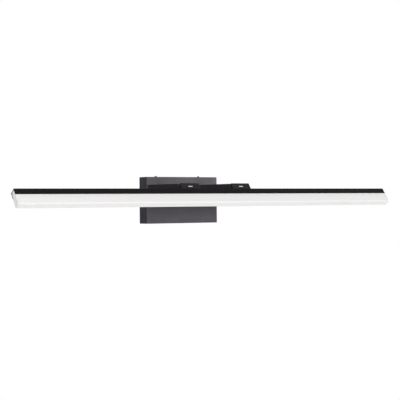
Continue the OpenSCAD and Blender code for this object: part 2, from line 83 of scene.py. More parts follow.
def noise(tree, where, scale, detail=3.0, rough=0.55):
    """Noise of about 0.3 to 0.7, at a scale in cells per metre."""
    return add(tree, "TexNoise", {"Vector": where, "Scale": scale, "Detail": detail,
                                  "Roughness": rough}).outputs["Fac"]


def span(tree, value, low, high, lo=0.0, hi=1.0):
    """Map the range low to high onto lo to hi, and hold it at the ends."""
    return add(tree, "MapRange", {"Value": value, "From Min": low, "From Max": high,
                                  "To Min": lo, "To Max": hi}).outputs[0]


def maths(tree, operation, a, b):
    """One arithmetic operation on two numbers or sockets."""
    return add(tree, "Math", {0: a, 1: b}, operation=operation).outputs[0]


def blend_colour(tree, factor, a, b):
    """The colour between a, at factor 0, and b, at factor 1."""
    mix = add(tree, "Mix", data_type="RGBA")
    for name, value in (("Factor", factor), ("A", a), ("B", b)):
        socket = [s for s in mix.inputs if s.name == name and s.enabled][0]
        if isinstance(value, bpy.types.NodeSocket):
            tree.links.new(value, socket)
        else:
            socket.default_value = value
    return [s for s in mix.outputs if s.enabled][0]


def shade(colour, factor=1.0):
    """The colour made lighter or darker by a factor, with full alpha."""
    return tuple(min(1.0, c * factor) for c in colour[:3]) + (1.0,)


def surface(name, colour, rough, **sockets):
    """A material with a Principled shader whose constant sockets are set here."""
    mat = bpy.data.materials.new(name)
    mat.use_nodes = True
    tree = mat.node_tree
    bsdf = tree.nodes["Principled BSDF"]
    bsdf.inputs["Base Color"].default_value = shade(colour)
    bsdf.inputs["Roughness"].default_value = rough
    for key, value in sockets.items():
        bsdf.inputs[key.replace("_", " ")].default_value = value
    return mat, tree, bsdf


def bumps(tree, bsdf, layers):
    """Stack bump layers of (height socket, height in metres)."""
    normal = None
    for height, depth in layers:
        inputs = {"Height": height, "Strength": 1.0, "Distance": depth}
        if normal:
            inputs["Normal"] = normal
        normal = add(tree, "Bump", inputs).outputs[0]
    tree.links.new(normal, bsdf.inputs["Normal"])


# ------------------------------------------------------------------ materials

def powder_coat(name, colour, rough, peel=1.0, specular=0.5):
    """Sprayed and baked paint: orange peel, fine grit, and a lighter colour on sharp edges."""
    mat, tree, bsdf = surface(name, colour, rough, Specular_IOR_Level=specular)
    at = coords(tree)
    cloud = noise(tree, at, 22)
    body = blend_colour(tree, span(tree, cloud, 0.35, 0.65), shade(colour, 0.88),
                        shade(colour, 1.12))
    # The base colour is made lighter on sharp edges, where the mesh's pointiness is high.
    edge = span(tree, add(tree, "NewGeometry").outputs["Pointiness"], 0.53, 0.62, 0, 0.35)
    edge_lightened = blend_colour(tree, edge, body, shade(colour, 2.2))
    tree.links.new(edge_lightened, bsdf.inputs["Base Color"])
    tree.links.new(span(tree, noise(tree, at, 70), 0.3, 0.7, rough - 0.05, rough + 0.06),
                   bsdf.inputs["Roughness"])
    bumps(tree, bsdf, [(noise(tree, at, 620, 2), 0.00009 * peel),
                       (noise(tree, at, 3600, 2), 0.00002 * peel)])
    return mat


def anodised(name, colour, rough, specular=0.3):
    """Anodised extrusion: fine die lines along X."""
    mat, tree, bsdf = surface(name, colour, rough, Specular_IOR_Level=specular)
    lines = noise(tree, coords(tree, (4, 1100, 1100)), 1.0, 4)
    cloud = noise(tree, coords(tree, (3, 40, 40)), 1.0)
    tree.links.new(blend_colour(tree, span(tree, lines, 0.3, 0.7), shade(colour, 0.8),
                                shade(colour, 1.25)), bsdf.inputs["Base Color"])
    tree.links.new(span(tree, cloud, 0.3, 0.7, rough - 0.04, rough + 0.05),
                   bsdf.inputs["Roughness"])
    bumps(tree, bsdf, [(lines, 0.00001)])
    return mat


def opal(name, colour, rough):
    """Extruded opal acrylic: milky, with faint draw lines and painted shade.

    Its colour is painted a little greyer towards the channel: painted shade where no light from
    the board reaches it.
    """
    mat, tree, bsdf = surface(name, colour, rough, Specular_IOR_Level=0.2,
                              Subsurface_Weight=0.25, Subsurface_Scale=0.003,
                              Subsurface_Radius=(1.0, 1.0, 1.0))
    lines = noise(tree, coords(tree, (2.5, 700, 700)), 1.0, 3)
    milk = noise(tree, coords(tree, (9, 30, 30)), 1.0)
    tint = blend_colour(tree, span(tree, milk, 0.3, 0.7), shade(colour, 0.985),
                        shade(colour, 1.012))
    from_pivot = add(tree, "VectorMath", {0: coords(tree), 1: tuple(-PIVOT)},
                     operation="ADD").outputs[0]
    bar_down = BAR_SPACE.to_3x3() @ Vector((0, 0, -1))
    down = add(tree, "VectorMath", {0: from_pivot, 1: tuple(bar_down)},
               operation="DOT_PRODUCT").outputs["Value"]
    # Painted shade: the base colour is 10 % darker towards the channel, fading out between 25 and
    # 37 mm below the pivot.
    tint = blend_colour(tree, span(tree, down, 25 * MM, 37 * MM), shade(colour, 0.9), tint)
    tree.links.new(blend_colour(tree, span(tree, lines, 0.25, 0.75, 0, 0.5), tint,
                                shade(colour, 0.99)), bsdf.inputs["Base Color"])
    tree.links.new(span(tree, lines, 0.3, 0.7, rough - 0.04, rough + 0.05),
                   bsdf.inputs["Roughness"])
    bumps(tree, bsdf, [(lines, 0.000012)])
    return mat


def moulded(name, colour, rough, grain=1.0, **sockets):
    """Injection-moulded plastic with a spark-eroded grain and slight sink."""
    mat, tree, bsdf = surface(name, colour, rough, **sockets)
    at = coords(tree)
    cloud = noise(tree, at, 35)
    tree.links.new(blend_colour(tree, span(tree, cloud, 0.3, 0.7), shade(colour, 0.95),
                                shade(colour, 1.03)), bsdf.inputs["Base Color"])
    tree.links.new(span(tree, noise(tree, at, 120), 0.3, 0.7, rough - 0.05, rough + 0.05),
                   bsdf.inputs["Roughness"])
    bumps(tree, bsdf, [(noise(tree, at, 90, 1), 0.00012 * grain),
                       (noise(tree, at, 2600, 3), 0.000016 * grain)])
    return mat


def spangled_zinc(name, colour, rough):
    """Galvanised sheet: crystals a few millimetres across, and rolling scratches."""
    mat, tree, bsdf = surface(name, colour, rough, Metallic=1.0)
    at = coords(tree)
    crystal = add(tree, "TexVoronoi", {"Vector": at, "Scale": 130.0, "Randomness": 1.0})
    value = add(tree, "SeparateColor", {0: crystal.outputs["Color"]}).outputs[0]
    tree.links.new(blend_colour(tree, span(tree, value, 0, 1), shade(colour, 0.78),
                                shade(colour, 1.1)), bsdf.inputs["Base Color"])
    scratch = noise(tree, coords(tree, (12, 12, 1500)), 1.0, 4)
    tree.links.new(maths(tree, "ADD", span(tree, value, 0, 1, rough - 0.08, rough + 0.1),
                        span(tree, scratch, 0.5, 0.8, 0, 0.12)), bsdf.inputs["Roughness"])
    bumps(tree, bsdf, [(scratch, 0.000008), (value, 0.000006)])
    return mat


def turned_metal(name, colour, rough, metallic=1.0):
    """Plated or blackened fastener: slight haze and fine marks."""
    mat, tree, bsdf = surface(name, colour, rough, Metallic=metallic)
    at = coords(tree)
    haze = noise(tree, at, 260)
    tree.links.new(blend_colour(tree, span(tree, haze, 0.3, 0.7), shade(colour, 0.85),
                                shade(colour, 1.06)), bsdf.inputs["Base Color"])
    tree.links.new(span(tree, noise(tree, at, 900, 3), 0.3, 0.7, rough - 0.07, rough + 0.1),
                   bsdf.inputs["Roughness"])
    bumps(tree, bsdf, [(noise(tree, at, 5000, 2), 0.000006)])
    return mat


def cable_skin(name, colour, rough=0.38):
    """Soft PVC insulation with a faint pull texture."""
    mat, tree, bsdf = surface(name, colour, rough)
    at = coords(tree)
    tree.links.new(blend_colour(tree, noise(tree, at, 180), shade(colour, 0.82),
                                shade(colour, 1.08)), bsdf.inputs["Base Color"])
    bumps(tree, bsdf, [(noise(tree, at, 1400, 2), 0.00002)])
    return mat


def phosphor(name, colour, rough):
    """Yellow phosphor in silicone: fine grains under a clear skin."""
    mat, tree, bsdf = surface(name, colour, rough, Coat_Weight=0.5, Coat_Roughness=0.12)
    grains = add(tree, "TexVoronoi", {"Vector": coords(tree), "Scale": 6500.0}).outputs["Distance"]
    tree.links.new(blend_colour(tree, span(tree, grains, 0, 0.6), shade(colour, 1.1),
                                shade(colour, 0.75)), bsdf.inputs["Base Color"])
    bumps(tree, bsdf, [(grains, 0.00001)])
    return mat


def solder_mask(name, colour, rough):
    """White lacquer over copper: the tracks show as a faint relief and tone."""
    mat, tree, bsdf = surface(name, colour, rough, Coat_Weight=0.3, Coat_Roughness=0.2)
    track = add(tree, "TexBrick", {"Vector": coords(tree), "Scale": 40.0,
                                   "Mortar Size": 0.03, "Color1": (1, 1, 1, 1),
                                   "Color2": (0.9, 0.9, 0.9, 1), "Mortar": (0, 0, 0, 1)})
    value = add(tree, "SeparateColor", {0: track.outputs["Color"]}).outputs[0]
    tree.links.new(blend_colour(tree, value, shade(colour, 0.9), shade(colour)),
                   bsdf.inputs["Base Color"])
    bumps(tree, bsdf, [(value, 0.00003)])
    return mat


MATERIALS = {
    "zinc_steel": spangled_zinc("zinc_steel", (0.62, 0.63, 0.65), 0.38),
    "black_canopy": powder_coat("black_canopy", (0.050, 0.0435, 0.056), 0.42, 1.0, 0.62),
    "black_arm": powder_coat("black_arm", (0.024, 0.020, 0.0245), 0.38, 0.8),
    "black_block": powder_coat("black_block", (0.011, 0.0098, 0.0135), 0.42, 0.8, 0.17),
    "black_channel": anodised("black_channel", (0.0055, 0.0048, 0.0058), 0.36, 0.085),
    "black_screw": turned_metal("black_screw", (0.012, 0.011, 0.012), 0.42, 0.2),
    "bright_screw": turned_metal("bright_screw", (0.72, 0.71, 0.69), 0.26),
    "driver_case": moulded("driver_case", (0.8, 0.8, 0.77), 0.5),
    "lever_connector": moulded("lever_connector", (0.62, 0.6, 0.57), 0.32, 0.4),
    "supply_lead": cable_skin("supply_lead", (0.02, 0.02, 0.02)),
    "white_lead": cable_skin("white_lead", (0.75, 0.75, 0.73)),
    "ground_green": turned_metal("ground_green", (0.05, 0.3, 0.1), 0.35, 0.8),
    "ground_green_lead": cable_skin("ground_green_lead", (0.03, 0.24, 0.07)),
    "grommet_rubber": moulded("grommet_rubber", (0.015, 0.015, 0.015), 0.62, 0.8),
    "washer_plastic": moulded("washer_plastic", (0.72, 0.69, 0.6), 0.42, 0.5),
    "cap_plastic": moulded("cap_plastic", (0.018, 0.018, 0.02), 0.4, 0.7),
    "opal": opal("opal", (0.89, 0.882, 0.875), 0.5),
    "white_board": solder_mask("white_board", (0.85, 0.86, 0.86), 0.35),
    "led_phosphor": phosphor("led_phosphor", (0.85, 0.62, 0.08), 0.4),
    "white_cap": moulded("white_cap", (0.86, 0.86, 0.86), 0.42, 0.6),
}


# ------------------------------------------------------------------ mesh helpers

def place(name, bm, slot, body, stands_for, smooth=32, level=True, extra=()):
    """Turn a bmesh in the model's frame into a piece that rides on a body.

    Edges sharper than the angle in degrees given as smooth stay sharp.
    """
    bmesh.ops.recalc_face_normals(bm, faces=bm.faces)
    mesh = bpy.data.meshes.new(name)
    bm.to_mesh(mesh)
    bm.free()
    mesh.shade_smooth()
    mesh.set_sharp_from_angle(angle=math.radians(smooth))
    ob = bpy.data.objects.new(name, mesh)
    bpy.context.scene.collection.objects.link(ob)
    for key in (slot, *extra):
        mesh.materials.append(MATERIALS[key])
    if level:
        ob.modifiers.new("flat faces stay flat", "WEIGHTED_NORMAL").keep_sharp = True
    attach(ob, body)
    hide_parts(*stands_for)


def node_shape(node):
    """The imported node's mesh, welded, with its flat faces made whole."""
    bm = bmesh.new()
    bm.from_mesh(frame["nodes"][node].data)
    bmesh.ops.remove_doubles(bm, verts=bm.verts, dist=2e-6)
    bmesh.ops.dissolve_limit(bm, angle_limit=math.radians(0.4), verts=bm.verts, edges=bm.edges)
    return bm


def edge_middle(e):
    """The middle of an edge."""
    return (e.verts[0].co + e.verts[1].co) / 2


def round_edges(bm, width, where=None, sharp=35, segments=3):
    """Round the edges sharper than an angle in degrees, or only those that also pass the test."""
    chosen = []
    for e in bm.edges:
        if len(e.link_faces) != 2 or e.calc_face_angle(0) < math.radians(sharp):
            continue
        if where is None or where(e):
            chosen.append(e)
    bmesh.ops.bevel(bm, geom=chosen, offset=width, offset_type="OFFSET", segments=segments,
                    profile=0.5, affect="EDGES", clamp_overlap=False)
    return bm


def softened(node, name, slot, body, width):
    """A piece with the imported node's shape and rounded edges, of a width in mm."""
    place(name, round_edges(node_shape(node), width * MM), slot, body, (node,))


def lathe(bm, profile, at=Matrix(), sides=48, thread=None):
    """Solid of revolution about Z from (radius, height) points, which start and end on the axis.

    thread is (low, high, pitch, depth): between those heights a helix is cut.
    """
    def radius(r, z, k):
        if thread and thread[0] < z < thread[1]:
            return r - thread[3] * abs(2 * ((z / thread[2] - k / sides) % 1) - 1)
        return r

    rings = []
    for r, z in profile:
        if r < 1e-9:
            rings.append([bm.verts.new(at @ Vector((0, 0, z)))])
            continue
        ring = []
        for k in range(sides):
            a, here = 2 * math.pi * k / sides, radius(r, z, k)
            ring.append(bm.verts.new(at @ Vector((here * math.cos(a), here * math.sin(a), z))))
        rings.append(ring)
    for low, high in zip(rings, rings[1:]):
        for k in range(sides):
            j = (k + 1) % sides
            corners = ([low[0]] if len(low) == 1 else [low[k], low[j]])
            corners += ([high[0]] if len(high) == 1 else [high[j], high[k]])
            bm.faces.new(corners)


def slab(bm, lo, hi, at=Matrix(), taper=(1.0, 1.0)):
    """Box between two corners. Its lower face is narrowed by the taper in X and Y."""
    mid = [(lo[i] + hi[i]) / 2 for i in (0, 1)]
    corners = []
    for z, (kx, ky) in ((lo[2], taper), (hi[2], (1.0, 1.0))):
        for x, y in ((lo[0], lo[1]), (hi[0], lo[1]), (hi[0], hi[1]), (lo[0], hi[1])):
            corners.append(bm.verts.new(at @ Vector((mid[0] + (x - mid[0]) * kx,
                                                     mid[1] + (y - mid[1]) * ky, z))))
    for face in ((0, 3, 2, 1), (4, 5, 6, 7),
                 (0, 1, 5, 4), (1, 2, 6, 5), (2, 3, 7, 6), (3, 0, 4, 7)):
        bm.faces.new([corners[i] for i in face])


def carve(bm, cutter):
    """Subtract the cutter from the mesh. The cutter is used up."""
    made = []
    for name, shape in (("solid", bm), ("cutter", cutter)):
        bmesh.ops.recalc_face_normals(shape, faces=shape.faces)
        mesh = bpy.data.meshes.new(name)
        shape.to_mesh(mesh)
        ob = bpy.data.objects.new(name, mesh)
        bpy.context.scene.collection.objects.link(ob)
        made.append(ob)
    cutter.free()
    cut = made[0].modifiers.new("cut", "BOOLEAN")
    cut.object, cut.operation, cut.solver = made[1], "DIFFERENCE", "EXACT"
    depsgraph = bpy.context.evaluated_depsgraph_get()
    result = bpy.data.meshes.new_from_object(made[0].evaluated_get(depsgraph))
    bm.clear()
    bm.from_mesh(result)
    for ob in made:
        mesh = ob.data
        bpy.data.objects.remove(ob)
        bpy.data.meshes.remove(mesh)
    bpy.data.meshes.remove(result)


def rounded_slab(bm, lo, hi, width, segments=3):
    """Add a box between two corners, with its edges rounded."""
    shape = bmesh.new()
    slab(shape, lo, hi)
    round_edges(shape, width, segments=segments)
    stamp(bm, shape, Matrix())
    shape.free()


def join_rings(bm, low, high):
    """A band of quads between two rings with the same number of points."""
    for k in range(len(low)):
        j = (k + 1) % len(low)
        bm.faces.new((low[k], low[j], high[j], high[k]))


def stamp(bm, shape, at):
    """Add a copy of a shape at a place."""
    mesh = bpy.data.meshes.new("copy")
    shape.to_mesh(mesh)
    mesh.transform(at)
    bm.from_mesh(mesh)
    bpy.data.meshes.remove(mesh)


def scaled(profile):
    """A profile's points in metres, from millimetres."""
    return [(r * MM, z * MM) for r, z in profile]


def facing(at, way):
    """Space at a point, with +Z along a direction."""
    return Matrix.Translation(at) @ Vector(way).to_track_quat("Z", "Y").to_matrix().to_4x4()


def screw_shape(head_r, head_h, r, length, pitch, dome=0.55):
    """Pan-head screw along Z with a cross recess: head above z = 0, thread below. Sizes in mm.

    The head's rounding is dome times its height, and a high dome reaches further in.
    """
    curve = dome * head_h
    wide = 1.3 if dome > 0.7 else 1.0
    profile = [(0, head_h)]
    for k in range(9):
        a = math.radians(90 * k / 8)
        profile.append((head_r - wide * curve * (1 - math.sin(a)),
                        head_h - curve * (1 - math.cos(a))))
    profile += [(head_r, 0.1), (head_r - 0.1, 0), (r, 0)]
    steps = int(length / pitch * 6)
    profile += [(r, -length * k / steps) for k in range(1, steps)]
    profile += [(r * 0.75, -length), (0, -length)]
    bm = bmesh.new()
    lathe(bm, scaled(profile), sides=36,
          thread=((-length + pitch) * MM, -0.4 * pitch * MM, pitch * MM, 0.45 * pitch * MM))
    reach, deep, width = head_r * 0.6, head_h * 0.55, max(0.5, head_r * 0.2)
    for size in ((reach, width / 2), (width / 2, reach)):
        cutter = bmesh.new()
        slab(cutter, (-size[0] * MM, -size[1] * MM, (head_h - deep) * MM),
             (size[0] * MM, size[1] * MM, (head_h + 0.2) * MM), taper=(0.55, 0.55))
        carve(bm, cutter)
    return bm


def screws(node, name, slot, body, shape, places):
    """One piece with a copy of the screw at each place. The screw is used up."""
    bm = bmesh.new()
    for at in places:
        stamp(bm, shape, at)
    shape.free()
    place(name, bm, slot, body, (node,), smooth=40)


def rounded_route(points, radius, steps=8):
    """Route through the points, with its corners rounded."""
    points = [Vector(p) for p in points]
    route = [points[0]]
    for a, b, c in zip(points, points[1:], points[2:]):
        start, end = b + (a - b).normalized() * radius, b + (c - b).normalized() * radius
        for k in range(steps + 1):
            t = k / steps
            route.append(start * (1 - t) ** 2 + b * 2 * t * (1 - t) + end * t * t)
    route.append(points[-1])
    return route


def tube(bm, route, r, sides=20):
    """Round closed tube along a route."""
    normal = None
    rings = []
    for i, here in enumerate(route):
        along = (route[min(i + 1, len(route) - 1)] - route[max(i - 1, 0)]).normalized()
        if normal is None:
            normal = along.orthogonal().normalized()
        normal = (normal - along * normal.dot(along)).normalized()
        side = along.cross(normal)
        rings.append([bm.verts.new(here + r * (normal * math.cos(a) + side * math.sin(a)))
                      for a in (2 * math.pi * k / sides for k in range(sides))])
    for low, high in zip(rings, rings[1:]):
        join_rings(bm, low, high)
    bm.faces.new(rings[0])
    bm.faces.new(rings[-1])


def millimetres(*points):
    """Points given in mm, as vectors in metres."""
    return [Vector(p) * MM for p in points]


def in_mount(x, y, z, way):
    """Space at a point given in mm, with +Z along a direction."""
    return facing(Vector((x, y, z)) * MM, way)


def in_bar(x, y, z, way):
    """The same in the bar's own frame, in mm from the pivot axis."""
    return BAR_SPACE @ in_mount(x, y, z, way)


# ------------------------------------------------------------------ canopy, arms, bar

CANOPY_EDGE = 1.35 * MM      # rounding of the front's edges, less than the corner radius
CORNER = 1.6 * MM            # how far in from its sides the canopy's outline curves
FOLD = 1.4 * MM              # outer radius of the wall plate's folds
NEAR = 0.02 * MM             # closeness that counts as lying on a face


def build_canopy():
    """Welded box with rounded front edges, and a small break on the rim at the wall."""
    lo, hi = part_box("canopy")
    bm = node_shape("canopy")

    def outer_front(e):
        middle = edge_middle(e)
        on_front = all(abs(v.co.y - lo.y) < NEAR for v in e.verts)
        return on_front and (abs(middle.x) > hi.x - CORNER or abs(middle.z) > hi.z - CORNER)

    def wall_rim(e):
        return all(abs(v.co.y - hi.y) < NEAR for v in e.verts)

    round_edges(bm, CANOPY_EDGE, outer_front, segments=4)
    round_edges(bm, 0.3 * MM, wall_rim, segments=2)
    place("canopy_shell", bm, "black_canopy", MOUNT, ("canopy",))


def build_wall_plate():
    """The two flanges are folded, so their outer corners are round."""
    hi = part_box("wall_plate")[1]
    bm = node_shape("wall_plate")

    def fold(e):
        return all(abs(v.co.y - hi.y) < NEAR and abs(abs(v.co.z) - hi.z) < NEAR for v in e.verts)

    def others(e):
        middle = edge_middle(e)
        return middle.y < hi.y - NEAR or abs(middle.z) < hi.z - 3 * MM

    round_edges(bm, FOLD, fold, segments=5)
    round_edges(bm, 0.2 * MM, others, sharp=60, segments=2)
    place("wall_plate_steel", bm, "zinc_steel", MOUNT, ("wall_plate",))


build_canopy()
build_wall_plate()
for side in ("left", "right"):
    for node, piece, slot, body, width in (
            ("_arm", "_arm_casting", "black_arm", MOUNT, 0.6),
            ("_pivot_block", "_block_casting", "black_block", BAR, 0.3),
            ("_end_cap", "_cap_moulding", "white_cap", BAR, 0.3),
            ("_pivot_bolt", "_pivot_bolt_steel", "black_screw", MOUNT, 0.2)):
        softened(side + node, side + piece, slot, body, width)
for node, piece, slot, body, width in (
        ("bar_housing", "channel_extrusion", "black_channel", BAR, 0.2),
        ("diffuser", "opal_diffuser", "opal", BAR, 0.2),
        ("chassis_plate", "chassis_plate_steel", "zinc_steel", MOUNT, 0.2),
        ("flange_nuts", "square_nuts", "bright_screw", MOUNT, 0.35),
        ("pivot_nuts", "hex_nuts", "bright_screw", MOUNT, 0.3),
        ("disc_springs", "spring_rings", "bright_screw", MOUNT, 0.15),
        ("friction_washers", "thrust_washers", "washer_plastic", MOUNT, 0.15),
        ("pivot_bushes", "bush_liners", "washer_plastic", BAR, 0.2),
        ("nut_plates", "plate_nuts", "bright_screw", BAR, 0.25),
        ("lead_grommet", "rubber_grommet", "grommet_rubber", MOUNT, 0.35),
        ("led_board", "board_strip", "white_board", BAR, 0.15),
        ("led_connector", "board_socket", "washer_plastic", BAR, 0.35)):
    softened(node, piece, slot, body, width)


# ------------------------------------------------------------------ screws and caps

# Places, in mm
BAR_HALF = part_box("bar_housing")[1].x / MM
CANOPY_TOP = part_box("canopy")[1].z / MM
PIVOT_Y = PIVOT.y / MM
PIVOT_Z = PIVOT.z / MM
TOP_SCREW = (54.7, -10)            # X and Y of the right screw on top of the canopy
ARM_X = 63.5                       # centre plane of the right arm
ARM_HALF = 22.8                    # half an arm's width
ARM_SCREW_DX = 18.3                # an arm's screws, from its centre plane
CHASSIS_Y = -28.5                  # back face of the chassis plate
DRIVER_TAB = 2                     # thickness of the driver's screw tabs
DRIVER_SCREW_X = 56.5
DRIVER_Z = -27                     # height of the driver's middle
GROUND = (30, -3, 36)              # seat of the ground screw
CAP_SCREW = (-3.2, -16.3)          # end cap screw, in the bar's own Y and Z
CAP_SCREW_INSET = 0.9              # its seat, in from the bar's end
BLOCK_SCREW = (-9.9, -13.7)        # seat of the block's screw, in the bar's own Y and Z
PLUG_T = 1.4                       # thickness of the plugs in the arms' sides

# Each screw_shape gives the head's radius and height, then the thread's radius, length and pitch.
screws("canopy_screws", "canopy_dome_screws", "black_screw", MOUNT,
       screw_shape(3, 2.3, 2, 8, 0.7, 0.85),
       [in_mount(side * TOP_SCREW[0], TOP_SCREW[1], CANOPY_TOP, (0, 0, 1)) for side in (-1, 1)])
screws("arm_screws", "arm_pan_screws", "bright_screw", MOUNT,
       screw_shape(4, 2.6, 2, 17.5, 0.7),
       [in_mount(arm * ARM_X + side * ARM_SCREW_DX, CHASSIS_Y, PIVOT_Z, (0, 1, 0))
        for arm in (-1, 1) for side in (-1, 1)])
screws("driver_screws", "driver_pan_screws", "bright_screw", MOUNT,
       screw_shape(2.75, 1.8, 1.5, 3.9, 0.5),
       [in_mount(side * DRIVER_SCREW_X, CHASSIS_Y + DRIVER_TAB, DRIVER_Z, (0, 1, 0))
        for side in (-1, 1)])
screws("ground_screw", "ground_pan_screw", "ground_green", MOUNT,
       screw_shape(4, 2.6, 2, 2.9, 0.7), [in_mount(*GROUND, (0, -1, 0))])
screws("block_screws", "block_pan_screws", "bright_screw", BAR,
       screw_shape(3.2, 2.2, 2, 9.6, 0.7),
       [in_bar(arm * ARM_X, *BLOCK_SCREW, (0, 0, -1)) for arm in (-1, 1)])
screws("end_cap_screws", "cap_pan_screws", "bright_screw", BAR,
       screw_shape(1.5, 0.8, 1, 8.1, 0.5),
       [in_bar(side * (BAR_HALF - CAP_SCREW_INSET), *CAP_SCREW, (side, 0, 0)) for side in (-1, 1)])


def build_bolt_caps():
    """Shallow domed plugs that close the pockets in the arms' sides."""
    profile = scaled([(0, PLUG_T), (2.5, 1.37), (4.4, 1.26), (5.5, 1.05),
                      (6.0, 0.75), (6.15, 0.4), (6.15, 0), (0, 0)])
    bm = bmesh.new()
    for arm in (-1, 1):
        for side in (-1, 1):
            x = arm * ARM_X + side * (ARM_HALF - PLUG_T)
            lathe(bm, profile, in_mount(x, PIVOT_Y, PIVOT_Z, (side, 0, 0)))
    place("domed_plugs", bm, "cap_plastic", MOUNT, ("bolt_caps",))


build_bolt_caps()


# ------------------------------------------------------------------ wiring, driver and LEDs

LEAD_R = 1.08 * MM                 # a hair less than the holes and slots leave room for
WIRE_Y = -18                       # plane in which the leads run, in mm like those below
DRIVER_HALF = 52                   # half the driver's length, without its tabs
DRIVER_EXITS = (-20, -26, -32)     # heights of the live, neutral and earth leads there
LEAD_X = -54.7                     # the bar's lead, through the left arm
LEAD_ORBIT = 6.2                   # its distance from the pivot axis
LEAD_RUN_Z = -18.05                # its height beside the board, in the bar's own Z
SOCKET_X = -120                    # where it meets the board's socket


def lead(name, slot, body, node, route):
    """One round lead along a route."""
    bm = bmesh.new()
    tube(bm, route, LEAD_R)
    place(name, bm, slot, body, (node,), level=False)


def build_supply_leads():
    """From the driver, up its right side and back to the lever connectors."""
    end_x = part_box("supply_connectors")[1].x / MM
    for name, slot, exit_z, turn_x, end_z in (
            ("live_lead", "supply_lead", DRIVER_EXITS[0], 62, 8.5),
            ("neutral_lead", "white_lead", DRIVER_EXITS[1], 66, 20.5)):
        corners = millimetres((DRIVER_HALF, WIRE_Y, exit_z), (turn_x, WIRE_Y, exit_z),
                              (turn_x, WIRE_Y, end_z), (end_x, WIRE_Y, end_z))
        lead(name, slot, MOUNT, "supply_leads", rounded_route(corners, 5 * MM))


def build_ground_lead():
    """From the driver to the ring under the ground screw's head."""
    exit_z = DRIVER_EXITS[2]
    turn_x = 72
    side_x = GROUND[0] + 12
    end_x = GROUND[0] + 4.4
    low_y = GROUND[1] - 0.2
    high_z = GROUND[2]
    corners = millimetres((DRIVER_HALF, WIRE_Y, exit_z), (turn_x, WIRE_Y, exit_z),
                          (turn_x, WIRE_Y, high_z), (side_x, WIRE_Y, high_z),
                          (side_x, low_y, high_z), (end_x, low_y, high_z))
    lead("earth_lead", "ground_green_lead", MOUNT, "ground_lead",
         rounded_route(corners, 3.5 * MM))


def build_ring_terminal():
    """Flat ring with slightly broken edges."""
    outer, inner, thick, soft, sides = 5, 2.05, 1, 0.15, 48
    at = in_mount(GROUND[0], GROUND[1] + thick, GROUND[2], (0, -1, 0))
    bm = bmesh.new()
    rings = []
    for r, z in ((inner, soft), (inner + soft, 0), (outer - soft, 0), (outer, soft),
                 (outer, thick - soft), (outer - soft, thick),
                 (inner + soft, thick), (inner, thick - soft)):
        rings.append([bm.verts.new(at @ (Vector((r * math.cos(a), r * math.sin(a), z)) * MM))
                      for a in (2 * math.pi * k / sides for k in range(sides))])
    for low, high in zip(rings, rings[1:] + rings[:1]):
        join_rings(bm, low, high)
    place("ring_terminal", bm, "bright_screw", MOUNT, ("ground_lead",))


def build_hinge_leads():
    """The lead from the driver to the board. It is split at the hinge: one part stays in the
    arm, and the other starts round the bolt's boss and turns with the bar."""
    turn_x = -DRIVER_HALF - 16
    arm_z = PIVOT_Z + LEAD_ORBIT
    corners = millimetres((-DRIVER_HALF, WIRE_Y, DRIVER_Z), (turn_x, WIRE_Y, DRIVER_Z),
                          (turn_x, WIRE_Y, arm_z), (LEAD_X, WIRE_Y, arm_z),
                          (LEAD_X, PIVOT_Y + 8.5, arm_z))
    lead("arm_wire", "white_lead", MOUNT, "arm_lead", rounded_route(corners, 5 * MM))

    first, last, steps = math.pi / 2 + TILT, math.pi, 8
    round_boss = []
    for k in range(steps + 1):
        a = first + (last - first) * k / steps
        round_boss.append((LEAD_X, LEAD_ORBIT * math.cos(a), LEAD_ORBIT * math.sin(a)))
    corners = millimetres((LEAD_X, -LEAD_ORBIT, -0.5), (LEAD_X, -LEAD_ORBIT, LEAD_RUN_Z),
                          (SOCKET_X, -LEAD_ORBIT, LEAD_RUN_Z))
    route = millimetres(*round_boss) + rounded_route(corners, 3 * MM)
    lead("bar_wire", "white_lead", BAR, "bar_lead", [BAR_SPACE @ point for point in route])


def build_driver():
    """Closed case with two screw tabs, cooling ribs on its back and a gland at each lead."""
    ribs, pitch, rib_half, rib_reach = 15, 6, 0.9, 13
    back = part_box("led_driver")[1].y / MM
    bm = round_edges(node_shape("led_driver"), 0.5 * MM, sharp=50)
    for k in range(ribs):
        x = (k - (ribs - 1) / 2) * pitch
        low, high = millimetres((x - rib_half, back - 0.2, DRIVER_Z - rib_reach),
                                (x + rib_half, back + 0.8, DRIVER_Z + rib_reach))
        rounded_slab(bm, low, high, 0.3 * MM, 2)
    gland = scaled([(0, 2.4), (1.6, 2.4), (2.08, 1.8), (2.56, 0), (0, 0)])
    for side, heights in ((-1, (DRIVER_Z,)), (1, DRIVER_EXITS)):
        for z in heights:
            lathe(bm, gland, in_mount(side * DRIVER_HALF, WIRE_Y, z, (side, 0, 0)), sides=24)
    place("driver_case", bm, "driver_case", MOUNT, ("led_driver",))


def build_lever_connectors():
    """Two-way lever connectors: a rounded body, and two levers lying on its front."""
    lo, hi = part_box("supply_connectors")
    body_h, lever_h, lever_pitch = 9 * MM, 3.8 * MM, 4.1 * MM
    bm = bmesh.new()
    for z in (4 * MM, 16 * MM):
        rounded_slab(bm, (lo.x, lo.y + 2.2 * MM, z), (hi.x, hi.y, z + body_h), 0.8 * MM)
        for k in (0, 1):
            foot = z + 0.5 * MM + k * lever_pitch
            rounded_slab(bm, (lo.x + 2 * MM, lo.y, foot),
                         (hi.x - 4 * MM, lo.y + 2.5 * MM, foot + lever_h), 0.7 * MM)
    place("lever_connectors", bm, "lever_connector", MOUNT, ("supply_connectors",))


